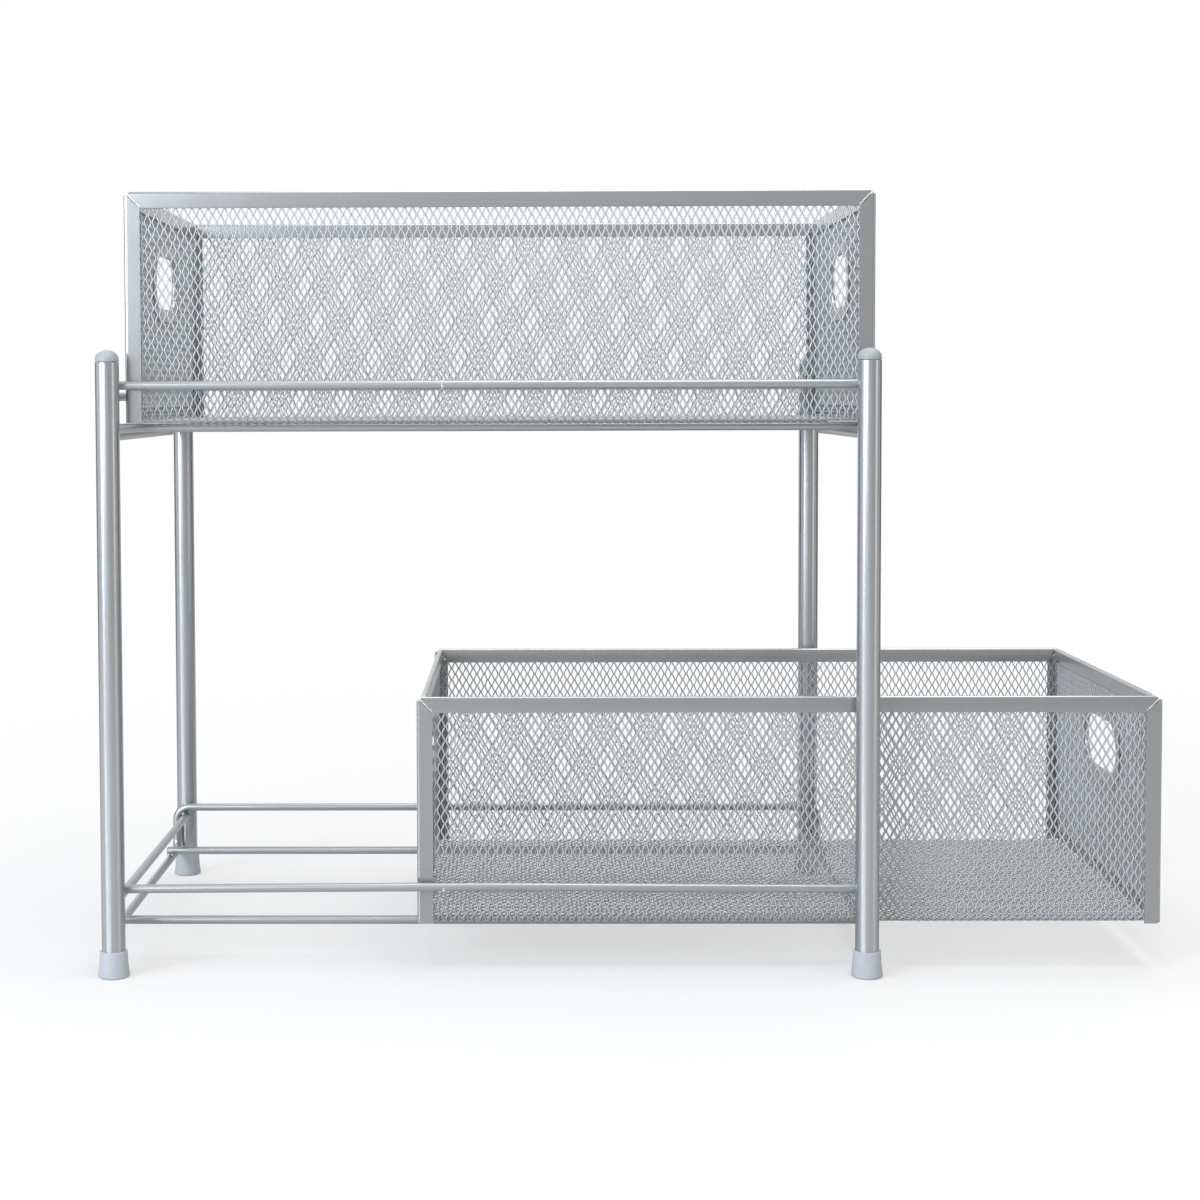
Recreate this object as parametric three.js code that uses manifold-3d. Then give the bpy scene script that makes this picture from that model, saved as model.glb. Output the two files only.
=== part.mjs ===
// A two-tier sliding shelf organizer: a free-standing frame of four tube legs and bent wire,
// carrying two expanded-metal mesh baskets that slide out to the right on wire rails.
// Millimetres, +Z up, +X the way the baskets pull out. The origin is on the floor, under the
// middle of the whole part with the baskets as they stand at rest.

import * as THREE from 'three';
import { mergeGeometries, mergeVertices } from 'three/addons/utils/BufferGeometryUtils.js';
import Module from 'manifold-3d';

// Running gap between pieces that touch on the real object
const FIT = 0.3;

// Tube legs, their feet and their domed caps
const LEG_SPAN_X = 382;
const LEG_SPAN_Y = 242;
const LEG_ABOVE_GUARD = 11.7;
const TUBE_DIAMETER = 12;
const TUBE_WALL = 1;
const FOOT_HEIGHT = 13.5;
const FOOT_FLOOR = 2.7;
const FOOT_LIP = 0.7;
const FOOT_FLARE = 1;
const FOOT_EDGE = 0.9;
const CAP_BAND = 1.2;
const CAP_DOME = 4.6;
const CAP_STEM = 10;

// Bent wire of the two tiers
const WIRE_DIAMETER = 4.5;
const BEND_RADIUS = 7.5;
const SIDE_BAR_HEIGHT = 16.5;
const GUARD_RISE = 26.5;
const SIDE_BAR_OVERHANG = 5;
const TIER_PITCH = 257;
const RAIL_INSET = 24.5;
const RAIL_OVERHANG = 2;
const WELD_FROM_LEFT_LEG = 168;
const WELD_BEAD_LENGTH = 3;
const WELD_BEAD_HEIGHT = 0.35;

// Mesh baskets. A closed basket stands a little proud of the right legs' middle line, and the
// top edges of its end walls spring in behind the corner posts.
const BASKET_PROUD = 1.2;
const BASKET_HEIGHT = 117;
const GUARD_CLEARANCE = 2.2;
const SHEET = 0.8;
const MESH_THICKNESS = 0.8;
const RIM_HEIGHT = 8.2;
const RIM_EDGE = 0.7;
const POST_WIDTH = 8.2;
const POST_FOOT_RADIUS = 2.5;
const CORNER_CLIP_LENGTH = 3.2;
const CORNER_CLIP_DROP = 2.9;
const END_SPRING = 2;
const LOWER_PULL = 150.5;
const UPPER_PULL = 3.5;

// Finger holes in the basket ends, each bound by a pressed ring that grips the mesh
const FINGER_LENGTH = 66;
const FINGER_HEIGHT = 28;
const FINGER_BELOW_RIM = 41;
const RING_LIP = 7;
const RING_WEB = 2;
const RING_GRIP = 1;

// Diamond pattern. The real diamonds are 4.2 mm wide and 7.1 mm long; the solids keep their
// form and direction at a coarser pitch.
const WALL_DIAMOND_WIDTH = 38;
const WALL_DIAMOND_LENGTH = 54;
const FLOOR_DIAMOND_WIDTH = 52;
const FLOOR_DIAMOND_LENGTH = 70;
const STRAND = 3;
const SELVEDGE = 3;

// Facets of round sections
const TUBE_SIDES = 16;
const WIRE_SIDES = 8;
const BEND_STEPS = 5;
const DOME_STEPS = 4;
const ARC_SEGMENTS = 3;

// Sizes that follow from those above
const TUBE_RADIUS = TUBE_DIAMETER / 2;
const WIRE_RADIUS = WIRE_DIAMETER / 2;
const GUARD_Y = LEG_SPAN_Y / 2 - TUBE_RADIUS - FIT - WIRE_RADIUS;
const GUARD_HEIGHT = SIDE_BAR_HEIGHT + GUARD_RISE;
const LEG_TOP = TIER_PITCH + GUARD_HEIGHT + LEG_ABOVE_GUARD;
const SIDE_BAR_X = LEG_SPAN_X / 2 + SIDE_BAR_OVERHANG;
const RAIL_HEIGHT = SIDE_BAR_HEIGHT + WIRE_DIAMETER + FIT;
const RAIL_Y = GUARD_Y - RAIL_INSET;
const BEND_CHORD_LOSS = BEND_RADIUS * (1 - Math.cos(Math.PI / 4 / BEND_STEPS));
const STOP_NEST = (BEND_RADIUS - BEND_CHORD_LOSS - WIRE_DIAMETER - FIT) / Math.SQRT2;
const STOP_HEIGHT = GUARD_HEIGHT - BEND_RADIUS + STOP_NEST;
const STOP_X = -(SIDE_BAR_X - BEND_RADIUS + STOP_NEST);
const BASKET_FLOOR = RAIL_HEIGHT + WIRE_RADIUS + FIT;
const BASKET_DEPTH = 2 * (GUARD_Y - WIRE_RADIUS - GUARD_CLEARANCE);
const BASKET_CLOSED_LEFT = STOP_X + WIRE_RADIUS + FIT;
const BASKET_LENGTH = LEG_SPAN_X / 2 + BASKET_PROUD - BASKET_CLOSED_LEFT;
const END_LEAN = Math.asin(END_SPRING / BASKET_HEIGHT);
const MESH_OUTSET = SHEET + FIT;
const RIM_THICKNESS = 2 * SHEET + 2 * FIT + MESH_THICKNESS;
const MITRE_BACK = (FIT / 2) * Math.SQRT2;
const FOOT_TOP_RADIUS = TUBE_RADIUS + FIT + FOOT_LIP;
const FOOT_RADIUS = FOOT_TOP_RADIUS + FOOT_FLARE;

const coatedSteel = { color: 0x9aa0a6, roughness: 0.42, metalness: 0.75 };
const coatedSheet = { color: 0x949ba1, roughness: 0.45, metalness: 0.7 };
const coatedMesh = { color: 0x8c9297, roughness: 0.5, metalness: 0.65 };
const capPlastic = { color: 0xa6b2b3, roughness: 0.4, metalness: 0 };
const footPlastic = { color: 0xaeb4c0, roughness: 0.5, metalness: 0 };

const wasm = await Module();
wasm.setup();

// Solids: a closed geometry becomes a solid that can be joined and cut, and goes back.
function solidOf(geometry) {
  const bare = geometry.clone();
  bare.deleteAttribute('normal');
  bare.deleteAttribute('uv');
  const merged = mergeVertices(bare, 1e-4);
  const vertProperties = new Float32Array(merged.attributes.position.array);
  const triVerts = new Uint32Array(merged.index.array);
  return new wasm.Manifold(new wasm.Mesh({ numProp: 3, vertProperties, triVerts }));
}

function geometryOf(solid) {
  const { vertProperties, triVerts } = solid.getMesh();
  const indexed = new THREE.BufferGeometry();
  indexed.setAttribute('position', new THREE.BufferAttribute(vertProperties, 3));
  indexed.setIndex(new THREE.BufferAttribute(triVerts, 1));
  const faceted = indexed.toNonIndexed();
  faceted.computeVertexNormals();
  return faceted;
}

function named(name, geometry, finish) {
  const mesh = new THREE.Mesh(geometry, new THREE.MeshStandardMaterial(finish));
  mesh.name = name;
  return mesh;
}

// Profiles: a flat outline swept up, through a wall or along X, and a profile turned about Z.
function outline(points) {
  return new THREE.Shape(points.map(([x, y]) => new THREE.Vector2(x, y)));
}

function swept(shape, depth) {
  return new THREE.ExtrudeGeometry(shape, { depth, bevelEnabled: false, curveSegments: ARC_SEGMENTS });
}

// A flat piece of that depth stands up: its x and y become X and Z, and it starts at Y = start.
function stood(flat, start, depth) {
  return flat.rotateX(Math.PI / 2).translate(0, start + depth, 0);
}

function upright(shape, start, depth) {
  return stood(swept(shape, depth), start, depth);
}

// The outline's x and y become Y and Z, and it runs along X, half of its length each way.
function lengthwise(shape, length) {
  const turn = new THREE.Matrix4().makeBasis(
    new THREE.Vector3(0, 1, 0), new THREE.Vector3(0, 0, 1), new THREE.Vector3(1, 0, 0));
  return swept(shape, length).applyMatrix4(turn).translate(-length / 2, 0, 0);
}

// A lathe profile goes up the outside, so that the turned faces point out.
function turned(profile) {
  const points = profile.map(([radius, height]) => new THREE.Vector2(radius, height));
  return new THREE.LatheGeometry(points, TUBE_SIDES).rotateX(Math.PI / 2);
}

function stadium(length, height) {
  const radius = height / 2;
  const straight = length / 2 - radius;
  const shape = new THREE.Shape();
  shape.absarc(straight, 0, radius, -Math.PI / 2, Math.PI / 2);
  shape.absarc(-straight, 0, radius, Math.PI / 2, Math.PI * 1.5);
  return shape;
}

// A route of straight wire with a round bend at each corner. It is sampled only where the
// wire starts, ends or bends.
class BentWire extends THREE.Curve {
  constructor(corners, radius) {
    super();
    this.stations = [];
    const last = corners.length - 1;
    const way = (from, to) => to.clone().sub(from).normalize();
    this.stations.push({ point: corners[0], tangent: way(corners[0], corners[1]) });
    for (let i = 1; i < last; i += 1) {
      this.bend(corners[i], way(corners[i - 1], corners[i]), way(corners[i], corners[i + 1]), radius);
    }
    this.stations.push({ point: corners[last], tangent: way(corners[last - 1], corners[last]) });
  }

  // A right-angled bend from one direction into the next
  bend(corner, before, after, radius) {
    const centre = corner.clone().addScaledVector(before, -radius).addScaledVector(after, radius);
    for (let step = 0; step <= BEND_STEPS; step += 1) {
      const angle = (Math.PI / 2) * (step / BEND_STEPS);
      const point = centre.clone()
        .addScaledVector(after, -radius * Math.cos(angle))
        .addScaledVector(before, radius * Math.sin(angle));
      const tangent = before.clone().multiplyScalar(Math.cos(angle))
        .addScaledVector(after, Math.sin(angle));
      this.stations.push({ point, tangent });
    }
  }

  stationAt(share) {
    return this.stations[Math.round(share * (this.stations.length - 1))];
  }

  getPointAt(share, target = new THREE.Vector3()) {
    return target.copy(this.stationAt(share).point);
  }

  getTangentAt(share, target = new THREE.Vector3()) {
    return target.copy(this.stationAt(share).tangent);
  }
}

function bentWire(corners) {
  const route = new BentWire(corners, BEND_RADIUS);
  const section = new THREE.Shape();
  for (let side = 0; side < WIRE_SIDES; side += 1) {
    const angle = (2 * Math.PI * side) / WIRE_SIDES;
    const corner = [WIRE_RADIUS * Math.cos(angle), WIRE_RADIUS * Math.sin(angle)];
    if (side === 0) section.moveTo(...corner);
    else section.lineTo(...corner);
  }
  return new THREE.ExtrudeGeometry(section, { steps: route.stations.length - 1, extrudePath: route });
}

function straightWire(length) {
  return new THREE.CylinderGeometry(WIRE_RADIUS, WIRE_RADIUS, length, WIRE_SIDES);
}

// Frame: legs with their feet and caps
function legTube() {
  const bore = TUBE_RADIUS - TUBE_WALL;
  const bottom = FOOT_FLOOR + FIT;
  return turned([
    [bore, bottom], [TUBE_RADIUS, bottom], [TUBE_RADIUS, LEG_TOP], [bore, LEG_TOP], [bore, bottom],
  ]);
}

function foot() {
  const socket = TUBE_RADIUS + FIT;
  return turned([
    [0, 0], [FOOT_RADIUS - FOOT_EDGE, 0], [FOOT_RADIUS, FOOT_EDGE],
    [FOOT_RADIUS - FOOT_FLARE / 4, FOOT_HEIGHT / 2], [FOOT_TOP_RADIUS, FOOT_HEIGHT],
    [socket, FOOT_HEIGHT], [socket, FOOT_FLOOR], [0, FOOT_FLOOR],
  ]);
}

function domedCap() {
  const stem = TUBE_RADIUS - TUBE_WALL - FIT;
  const seat = LEG_TOP + FIT;
  const profile = [[0, seat - CAP_STEM], [stem, seat - CAP_STEM], [stem, seat], [TUBE_RADIUS, seat]];
  for (let step = 0; step < DOME_STEPS; step += 1) {
    const angle = (Math.PI / 2) * (step / DOME_STEPS);
    profile.push([TUBE_RADIUS * Math.cos(angle), seat + CAP_BAND + CAP_DOME * Math.sin(angle)]);
  }
  profile.push([0, seat + CAP_BAND + CAP_DOME]);
  return turned(profile);
}

// One closed loop of wire: the guards run along the front and the back, drop at both ends and
// turn into the low side bars. Its ends are butt welded on the front guard.
function guardLoop() {
  const at = (x, y, z) => new THREE.Vector3(x, y, z);
  const weldX = -LEG_SPAN_X / 2 + WELD_FROM_LEFT_LEG;
  const high = GUARD_HEIGHT;
  const low = SIDE_BAR_HEIGHT;
  const route = [at(weldX + FIT, -GUARD_Y, high)];
  for (const [x, y] of [[SIDE_BAR_X, -GUARD_Y], [SIDE_BAR_X, GUARD_Y]]) {
    const heights = y < 0 ? [high, low] : [low, high];
    heights.forEach((z) => route.push(at(x, y, z)));
  }
  for (const [x, y] of [[-SIDE_BAR_X, GUARD_Y], [-SIDE_BAR_X, -GUARD_Y]]) {
    const heights = y > 0 ? [high, low] : [low, high];
    heights.forEach((z) => route.push(at(x, y, z)));
  }
  route.push(at(weldX - FIT, -GUARD_Y, high));
  const beadRadius = WIRE_RADIUS + WELD_BEAD_HEIGHT;
  const bead = new THREE.CylinderGeometry(beadRadius, beadRadius, WELD_BEAD_LENGTH, WIRE_SIDES)
    .rotateZ(Math.PI / 2)
    .translate(weldX, -GUARD_Y, high);
  return geometryOf(solidOf(bentWire(route)).add(solidOf(bead)));
}

function addLegs(frame) {
  for (const [side, x] of [['left', -LEG_SPAN_X / 2], ['right', LEG_SPAN_X / 2]]) {
    for (const [face, y] of [['front', -LEG_SPAN_Y / 2], ['rear', LEG_SPAN_Y / 2]]) {
      const leg = new THREE.Group();
      leg.position.set(x, y, 0);
      leg.add(named(`leg_${face}_${side}`, legTube(), coatedSteel));
      leg.add(named(`foot_${face}_${side}`, foot(), footPlastic));
      leg.add(named(`cap_${face}_${side}`, domedCap(), capPlastic));
      frame.add(leg);
    }
  }
}

// A tier: the guard loop, two rails laid across its side bars, and the stop wire, which nests
// under the guards in their left bends
function addTier(frame, tier, height) {
  const group = new THREE.Group();
  group.position.z = height;
  group.add(named(`${tier}_guard_loop`, guardLoop(), coatedSteel));
  for (const [face, y] of [['front', -RAIL_Y], ['rear', RAIL_Y]]) {
    const rail = named(`${tier}_rail_${face}`, straightWire(2 * (SIDE_BAR_X + RAIL_OVERHANG)), coatedSteel);
    rail.rotation.z = Math.PI / 2;
    rail.position.set(0, y, RAIL_HEIGHT);
    group.add(rail);
  }
  const stop = named(`${tier}_back_stop`, straightWire(2 * (GUARD_Y + WIRE_RADIUS)), coatedSteel);
  stop.position.set(STOP_X, 0, STOP_HEIGHT);
  group.add(stop);
  frame.add(group);
}

// Basket: each wall piece is made along X with its outer face on Y = 0, facing -Y. An end wall then
// leans in about its lower edge.

// The clipped top corners of a wall, as a prism through the wall
function clippedFace(length, depth) {
  const half = length / 2;
  return upright(outline([
    [-half, 0], [half, 0], [half, BASKET_HEIGHT - CORNER_CLIP_DROP],
    [half - CORNER_CLIP_LENGTH, BASKET_HEIGHT], [CORNER_CLIP_LENGTH - half, BASKET_HEIGHT],
    [-half, BASKET_HEIGHT - CORNER_CLIP_DROP],
  ]), 0, depth);
}

// A rim strip: sheet folded over the mesh edge, mitred to the next strip and to the posts
function rimStrip(length) {
  const half = length / 2 - MITRE_BACK;
  const bottom = BASKET_HEIGHT - RIM_HEIGHT;
  const top = BASKET_HEIGHT;
  const inner = RIM_THICKNESS;
  const fold = outline([
    [0, bottom], [SHEET, bottom], [SHEET, top - SHEET], [inner - SHEET, top - SHEET],
    [inner - SHEET, bottom], [inner, bottom], [inner, top - RIM_EDGE], [inner - RIM_EDGE, top],
    [RIM_EDGE, top], [0, top - RIM_EDGE],
  ]);
  const face = outline([
    [-half, top], [RIM_HEIGHT - half, bottom], [half - RIM_HEIGHT, bottom], [half, top],
  ]);
  const plan = outline([[-half, 0], [half, 0], [half - inner, inner], [inner - half, inner]]);
  return geometryOf(solidOf(lengthwise(fold, length))
    .intersect(solidOf(upright(face, 0, inner)))
    .intersect(solidOf(swept(plan, top)))
    .intersect(solidOf(clippedFace(length, inner))));
}

// A corner post: an angle strip round the outside of the front left corner at X = 0, Y = 0
function cornerPost() {
  const angle = outline([
    [0, RIM_EDGE], [RIM_EDGE, 0], [POST_WIDTH, 0], [POST_WIDTH, SHEET], [SHEET, SHEET],
    [SHEET, POST_WIDTH], [0, POST_WIDTH],
  ]);
  const round = POST_FOOT_RADIUS;
  const side = new THREE.Shape();
  side.moveTo(POST_WIDTH, 0);
  side.lineTo(POST_WIDTH, BASKET_HEIGHT - POST_WIDTH - MITRE_BACK);
  const clipSlope = CORNER_CLIP_DROP / CORNER_CLIP_LENGTH;
  const peak = (CORNER_CLIP_DROP - MITRE_BACK) / (1 + clipSlope);
  side.lineTo(peak, BASKET_HEIGHT - peak - MITRE_BACK);
  side.lineTo(0, BASKET_HEIGHT - CORNER_CLIP_DROP);
  side.lineTo(0, round);
  side.absarc(round, round, round, Math.PI, Math.PI * 1.5);
  const frontFlange = solidOf(upright(side, 0, SHEET));
  const endFlange = solidOf(upright(side, -SHEET, SHEET).rotateZ(Math.PI / 2));
  return geometryOf(frontFlange.add(endFlange).intersect(solidOf(swept(angle, BASKET_HEIGHT))));
}

// A sheet of expanded metal: whole diamonds inside, halves along its edges and quarters in its
// corners, with a plain selvedge of its own width on each side
function diamondSheet(width, height, edge, diamondWidth, diamondLength) {
  const sheet = swept(outline([[0, 0], [width, 0], [width, height], [0, height]]), MESH_THICKNESS);
  const gaps = [];
  const clearWidth = width - edge.left - edge.right;
  const clearHeight = height - edge.bottom - edge.top;
  const columns = Math.max(1, Math.round(clearWidth / diamondWidth));
  const rows = Math.max(1, Math.round(clearHeight / diamondLength));
  const stepX = clearWidth / columns;
  const stepY = clearHeight / rows;
  const shrink = 1 - (STRAND / 2) / ((stepX * stepY) / 2 / Math.hypot(stepX, stepY));
  const reachX = (shrink * stepX) / 2;
  const reachY = (shrink * stepY) / 2;
  for (let i = 0; i <= 2 * columns; i += 1) {
    for (let j = i % 2; j <= 2 * rows; j += 2) {
      const x = edge.left + (i * stepX) / 2;
      const y = edge.bottom + (j * stepY) / 2;
      const left = i === 0 ? x : x - reachX;
      const right = i === 2 * columns ? x : x + reachX;
      const low = j === 0 ? y : y - reachY;
      const high = j === 2 * rows ? y : y + reachY;
      const gap = [[x, low], [right, y], [x, high], [left, y]]
        .filter(([px, py]) => px !== x || py !== y);
      const inCorner = gap.length === 2;
      gaps.push(swept(outline(inCorner ? [[x, y], ...gap] : gap), MESH_THICKNESS + 2 * FIT));
    }
  }
  const cutter = mergeGeometries(gaps).translate(0, 0, -FIT);
  return geometryOf(solidOf(sheet).subtract(solidOf(cutter)));
}

// A mesh wall stands inside the posts with its top edge in the rim's fold.
function meshWall(length, edge, diamondAcross, diamondUp) {
  const height = BASKET_HEIGHT - SHEET - FIT;
  const sheet = diamondSheet(length, height, edge, diamondAcross, diamondUp);
  return stood(sheet, MESH_OUTSET, MESH_THICKNESS).translate(-length / 2, 0, 0);
}

// In the long walls the diamonds stand upright.
function meshSide(length, edge) {
  return meshWall(length, edge, WALL_DIAMOND_WIDTH, WALL_DIAMOND_LENGTH);
}

// An end wall is folded up from the floor, so its diamonds lie on their sides. It has its finger
// hole, with a flat band of crimped mesh inside the ring's grip.
function meshEnd(length, edge) {
  const wall = meshWall(length, edge, WALL_DIAMOND_LENGTH, WALL_DIAMOND_WIDTH);
  const centre = BASKET_HEIGHT - FINGER_BELOW_RIM;
  const seat = 2 * (RING_WEB + FIT);
  const band = 2 * (RING_LIP - RING_GRIP);
  const hole = stadium(FINGER_LENGTH + seat, FINGER_HEIGHT + seat);
  const crimp = stadium(FINGER_LENGTH + band, FINGER_HEIGHT + band);
  const through = (shape) => solidOf(upright(shape, MESH_OUTSET, MESH_THICKNESS).translate(0, 0, centre));
  const cutter = solidOf(upright(hole, 0, RIM_THICKNESS).translate(0, 0, centre));
  return geometryOf(solidOf(wall).add(through(crimp)).subtract(cutter));
}

function meshFloor(length, width) {
  const edge = { left: SELVEDGE, right: SELVEDGE, bottom: SELVEDGE, top: SELVEDGE };
  const sheet = diamondSheet(length, width, edge, FLOOR_DIAMOND_WIDTH, FLOOR_DIAMOND_LENGTH);
  return sheet.translate(-length / 2, -width / 2, 0);
}

// A finger ring: two lips joined by a web, gripping the crimped edge of the mesh
function fingerRing() {
  const centre = BASKET_HEIGHT - FINGER_BELOW_RIM;
  const ring = (lip, start, depth) => {
    const shape = stadium(FINGER_LENGTH + 2 * lip, FINGER_HEIGHT + 2 * lip);
    shape.holes.push(stadium(FINGER_LENGTH, FINGER_HEIGHT));
    return solidOf(upright(shape, start, depth).translate(0, 0, centre));
  };
  return geometryOf(ring(RING_LIP, 0, SHEET)
    .add(ring(RING_WEB, 0, RIM_THICKNESS))
    .add(ring(RING_LIP, RIM_THICKNESS - SHEET, SHEET)));
}

function addBasket(parent, tier, left, height) {
  const basket = new THREE.Group();
  basket.position.set(left + BASKET_LENGTH / 2, 0, height);
  const halfLength = BASKET_LENGTH / 2;
  const halfDepth = BASKET_DEPTH / 2;
  const longMesh = BASKET_LENGTH - 2 * MESH_OUTSET;
  const shortMesh = BASKET_DEPTH - 2 * (RIM_THICKNESS + FIT);
  const rimEdge = RIM_HEIGHT - SHEET - FIT;
  const longEdge = {
    left: POST_WIDTH - MESH_OUTSET, right: POST_WIDTH - MESH_OUTSET, bottom: SELVEDGE, top: rimEdge,
  };
  const endTrim = POST_WIDTH - (BASKET_DEPTH - shortMesh) / 2;
  const endEdge = { left: endTrim, right: endTrim, bottom: SELVEDGE, top: rimEdge };
  const faces = [
    { face: 'front', x: 0, y: -halfDepth, turn: 0, end: false },
    { face: 'right', x: halfLength, y: 0, turn: Math.PI / 2, end: true },
    { face: 'rear', x: 0, y: halfDepth, turn: Math.PI, end: false },
    { face: 'left', x: -halfLength, y: 0, turn: -Math.PI / 2, end: true },
  ];
  for (const { face, x, y, turn, end } of faces) {
    const wall = new THREE.Group();
    wall.position.set(x, y, 0);
    wall.rotation.set(end ? -END_LEAN : 0, 0, turn, 'ZXY');
    const mesh = end ? meshEnd(shortMesh, endEdge) : meshSide(longMesh, longEdge);
    const rimLength = end ? BASKET_DEPTH - 2 * END_SPRING : BASKET_LENGTH;
    wall.add(named(`${tier}_mesh_${face}`, mesh, coatedMesh));
    wall.add(named(`${tier}_rim_${face}`, rimStrip(rimLength), coatedSheet));
    if (end) wall.add(named(`${tier}_finger_ring_${face}`, fingerRing(), coatedSheet));
    basket.add(wall);
  }
  const floorInset = MESH_OUTSET + MESH_THICKNESS + FIT;
  const floor = meshFloor(BASKET_LENGTH - 2 * floorInset, BASKET_DEPTH - 2 * floorInset);
  basket.add(named(`${tier}_mesh_floor`, floor, coatedMesh));
  const corners = [
    { corner: 'front_left', x: -halfLength, y: -halfDepth, turn: 0 },
    { corner: 'front_right', x: halfLength, y: -halfDepth, turn: Math.PI / 2 },
    { corner: 'rear_right', x: halfLength, y: halfDepth, turn: Math.PI },
    { corner: 'rear_left', x: -halfLength, y: halfDepth, turn: -Math.PI / 2 },
  ];
  for (const { corner, x, y, turn } of corners) {
    const post = named(`${tier}_post_${corner}`, cornerPost(), coatedSheet);
    post.position.set(x, y, 0);
    post.rotation.z = turn;
    basket.add(post);
  }
  parent.add(basket);
}

const organizer = new THREE.Group();
organizer.name = 'sliding_shelf_organizer';

// The part is centred on its own reach at rest, from the left feet to the pulled-out basket.
const leftReach = LEG_SPAN_X / 2 + Math.max(FOOT_RADIUS, SIDE_BAR_OVERHANG + WIRE_RADIUS);
const lowerLeft = BASKET_CLOSED_LEFT + LOWER_PULL;
organizer.position.x = -(lowerLeft + BASKET_LENGTH - leftReach) / 2;

addLegs(organizer);
addTier(organizer, 'lower', 0);
addTier(organizer, 'upper', TIER_PITCH);
addBasket(organizer, 'lower', lowerLeft, BASKET_FLOOR);
addBasket(organizer, 'upper', BASKET_CLOSED_LEFT + UPPER_PULL, TIER_PITCH + BASKET_FLOOR);

export default organizer;
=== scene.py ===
# %% [markdown]
# # A two-tier sliding shelf organizer
# Four steel tube legs and two tiers of bent wire make a free-standing frame. It carries two baskets
# of expanded steel mesh, one above the other, which slide out to the right on wire rails. The packed
# model, called the frame here, holds every piece at its real size and place, with plain facets. This
# lesson takes sizes and places from that frame, and gives each piece its fine shape and its finish.

# %% Load the frame
import math

import bpy
from mathutils import Matrix, Vector


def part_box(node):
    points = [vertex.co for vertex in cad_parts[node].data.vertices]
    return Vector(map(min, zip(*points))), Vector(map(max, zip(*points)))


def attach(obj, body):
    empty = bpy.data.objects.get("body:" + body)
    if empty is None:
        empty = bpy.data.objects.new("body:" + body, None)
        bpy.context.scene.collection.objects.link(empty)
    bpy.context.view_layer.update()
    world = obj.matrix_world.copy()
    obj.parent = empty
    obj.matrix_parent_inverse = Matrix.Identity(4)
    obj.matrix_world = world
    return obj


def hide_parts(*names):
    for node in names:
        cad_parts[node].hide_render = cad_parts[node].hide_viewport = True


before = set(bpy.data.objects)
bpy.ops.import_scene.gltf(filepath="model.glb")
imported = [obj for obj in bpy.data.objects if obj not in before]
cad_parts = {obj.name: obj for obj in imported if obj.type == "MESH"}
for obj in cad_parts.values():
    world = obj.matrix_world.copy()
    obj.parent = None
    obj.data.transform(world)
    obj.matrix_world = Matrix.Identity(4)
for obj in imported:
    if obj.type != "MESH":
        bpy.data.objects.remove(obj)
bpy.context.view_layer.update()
scene = bpy.context.scene
MM = 0.001


def in_mm(vector):
    return [round(x / MM, 1) for x in vector]


def centre_and_size(node):
    low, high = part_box(node)
    return (low + high) / 2, high - low


# %% [markdown]
# ## The camera
# A camera could be set by eye until the edges fall right. Here its place and lens were solved from
# the straight edges of the legs and baskets, so it is written as plain measures: how far it stands in
# front of the frame, how high, and how much it is turned. It looks very slightly down. Upright edges
# hardly converge in the picture, so the lens is shifted a little, as on a view camera.

# %% Camera
CAMERA_RIGHT_OF_LEGS = 21.1 * MM
CAMERA_DISTANCE = 1226.0 * MM
CAMERA_HEIGHT = 294.0 * MM
CAMERA_PITCH_DOWN = math.radians(2.82)
CAMERA_TURN_LEFT = math.radians(0.64)
CAMERA_ROLL = math.radians(-0.177)
LENS = 66.12
SENSOR = 36.0
SHIFT_RIGHT = 0.0787
SHIFT_UP = -0.0793

left_leg, tube_size = centre_and_size("leg_front_left")
right_leg, _ = centre_and_size("leg_front_right")
middle_x = (left_leg.x + right_leg.x) / 2

camera = bpy.data.objects.new("camera", bpy.data.cameras.new("camera"))
camera.data.lens = LENS
camera.data.sensor_width = SENSOR
camera.data.shift_x = SHIFT_RIGHT
camera.data.shift_y = SHIFT_UP
camera.matrix_world = (
    Matrix.Translation((middle_x + CAMERA_RIGHT_OF_LEGS, -CAMERA_DISTANCE, CAMERA_HEIGHT))
    @ Matrix.Rotation(CAMERA_TURN_LEFT, 4, "Z")
    @ Matrix.Rotation(math.pi / 2 - CAMERA_PITCH_DOWN, 4, "X")
    @ Matrix.Rotation(CAMERA_ROLL, 4, "Z")
)
scene.collection.objects.link(camera)
scene.camera = camera
scene.view_settings.view_transform = "Standard"
print("camera at mm:", in_mm(camera.matrix_world.translation))

# %% [markdown]
# ## Two small helpers for nodes
# Shaders, the world and Geometry Nodes are all node trees, so one function adds a node to any of them:
# its settings are properties, and each input is a number, a colour, another node's output, or another
# node, which stands for its first output. Colours are written as the sRGB hex values that a colour
# picker shows, and turned to linear light.

# %% Node and colour helpers
def add_node(tree, kind, inputs=None, **settings):
    node = tree.nodes.new(kind)
    for name, value in settings.items():
        setattr(node, name, value)
    for key, value in (inputs or {}).items():
        if isinstance(value, bpy.types.Node):
            value = value.outputs[0]
        if isinstance(value, bpy.types.NodeSocket):
            tree.links.new(value, node.inputs[key])
        else:
            node.inputs[key].default_value = value
    return node


def linear(hex_colour):
    shares = [int(hex_colour[i:i + 2], 16) / 255 for i in (1, 3, 5)]
    return [s / 12.92 if s <= 0.04045 else ((s + 0.055) / 1.055) ** 2.4 for s in shares] + [1.0]


print("mid grey in linear light:", round(linear("#808080")[0], 3))

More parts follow.
